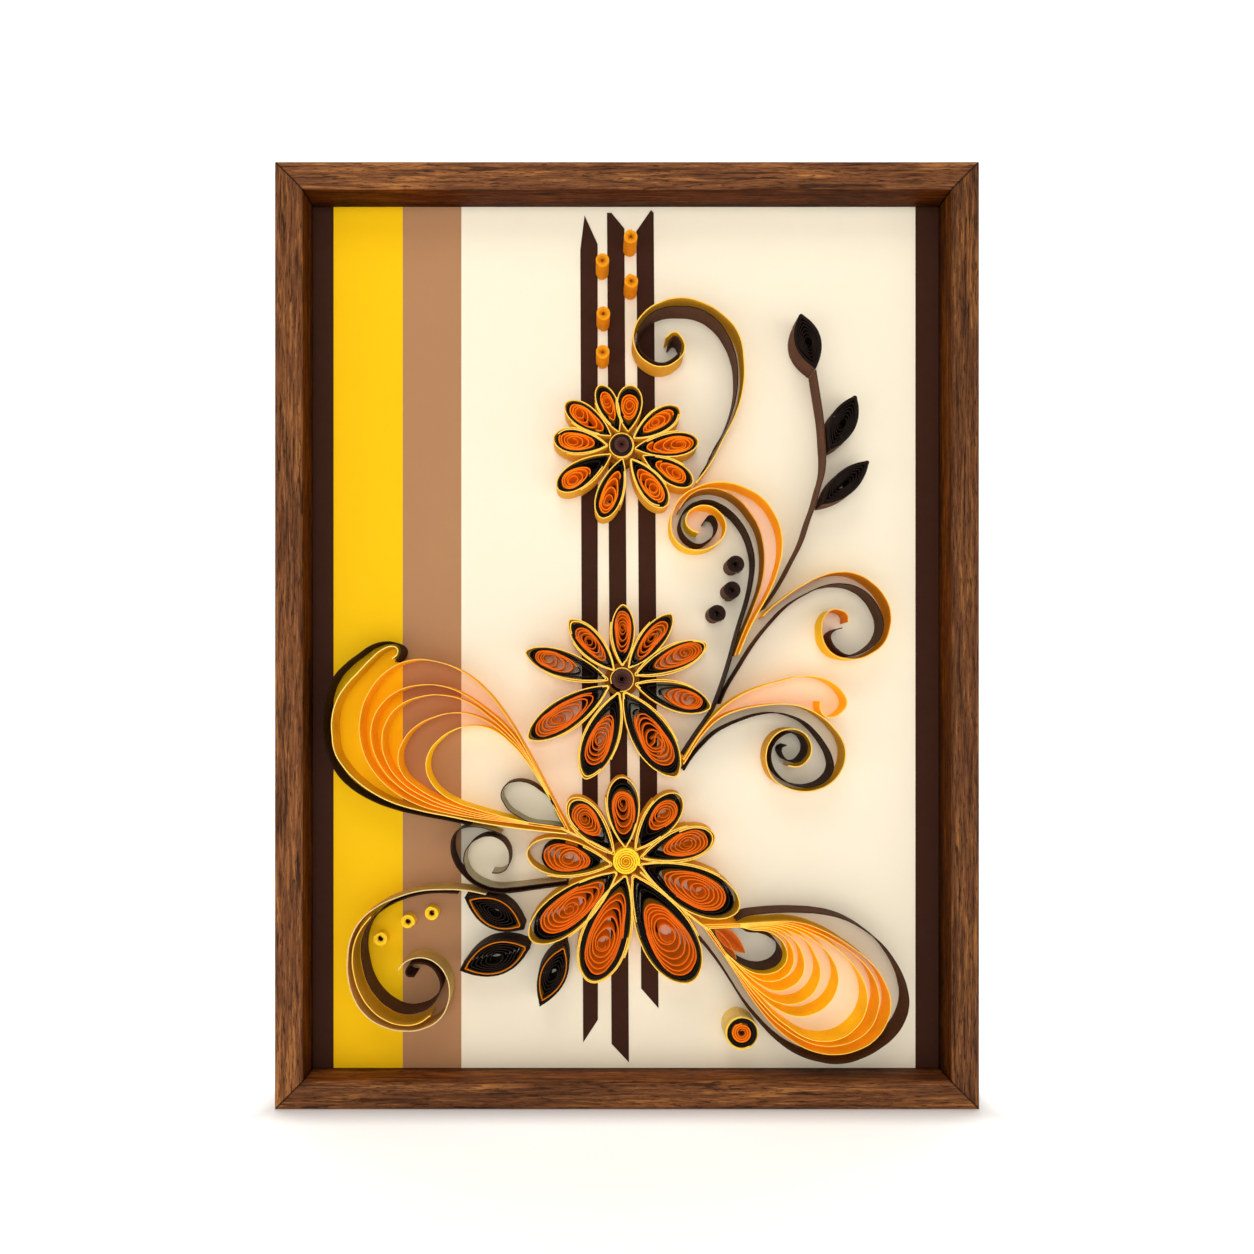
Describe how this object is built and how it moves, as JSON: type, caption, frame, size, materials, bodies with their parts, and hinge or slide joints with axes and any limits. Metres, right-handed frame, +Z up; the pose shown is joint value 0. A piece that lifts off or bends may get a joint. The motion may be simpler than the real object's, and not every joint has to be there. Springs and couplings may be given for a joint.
{
  "type": "framed quilled paper art",
  "caption": "Shallow wooden frame holding a card collage with quilled daisies, scrolls, fans and small rolls of paper strip standing on edge; hangs or stands.",
  "frame": {"origin": "bottom centre of the frame's bounding box, halfway through its depth", "axes": "+Z up along the frame's long side, +X to the viewer's right, -Y out of the artwork towards the viewer"},
  "size_m": [0.239, 0.02, 0.3215],
  "materials": {
    "frame_wood": "brown stained open-grained wood, satin",
    "hardboard": "plain pressed hardboard, matte",
    "steel": "plated sheet steel",
    "dark_card": "matte dark brown card",
    "yellow_card": "matte yellow card",
    "tan_card": "matte tan card",
    "cream_card": "matte cream card",
    "dark_paper": "matte dark brown paper",
    "brown_paper": "matte dark brown paper",
    "yellow_paper": "matte yellow paper",
    "orange_paper": "matte orange paper",
    "amber_paper": "matte amber paper",
    "gold_paper": "matte gold paper"
  },
  "bodies": {
    "root": {"backing_board": "hardboard", "base_card": "dark_card", "brown_beads": "brown_paper", "corner_v_nails": "steel", "cream_panel": "cream_card", "crest_scroll_brown": "brown_paper", "crest_scroll_gold": "gold_paper", "crest_scroll_orange": "orange_paper", "frame_rail_bottom": "frame_wood", "frame_rail_left": "frame_wood", "frame_rail_right": "frame_wood", "frame_rail_top": "frame_wood", "framer_points": "steel", "ground_scroll_brown": "brown_paper", "ground_scroll_gold": "gold_paper", "ground_scroll_inner": "brown_paper", "hanger_rivets": "steel", "hook_scroll_brown": "brown_paper", "hook_scroll_gold": "gold_paper", "left_fan_dark": "brown_paper", "left_fan_gold": "gold_paper", "left_fan_loops": "amber_paper", "lower_flower_centre": "yellow_paper", "lower_flower_petals": "gold_paper", "middle_flower_centre": "brown_paper", "middle_flower_petals": "gold_paper", "orange_beads": "orange_paper", "right_fan_bud": "orange_paper", "right_fan_dark": "brown_paper", "right_fan_inner_loop": "brown_paper", "right_fan_loops": "amber_paper", "round_scroll_brown": "brown_paper", "round_scroll_gold": "gold_paper", "sawtooth_hanger": "steel", "side_scroll_brown": "brown_paper", "side_scroll_orange": "orange_paper", "small_scroll_orange": "orange_paper", "spray_leaf_down": "brown_paper", "spray_leaf_lower": "brown_paper", "spray_leaf_upper": "brown_paper", "stem": "brown_paper", "stem_leaf_lower": "brown_paper", "stem_leaf_middle": "brown_paper", "stem_leaf_top": "brown_paper", "stripe_left": "dark_paper", "stripe_middle": "dark_paper", "stripe_right": "dark_paper", "tan_band": "tan_card", "target_roll": "brown_paper", "teardrop_loop": "brown_paper", "tendril_inner": "brown_paper", "tendril_outer": "brown_paper", "upper_flower_centre": "brown_paper", "upper_flower_petals": "gold_paper", "yellow_band": "yellow_card", "yellow_beads": "yellow_paper"}
  },
  "joints": []
}
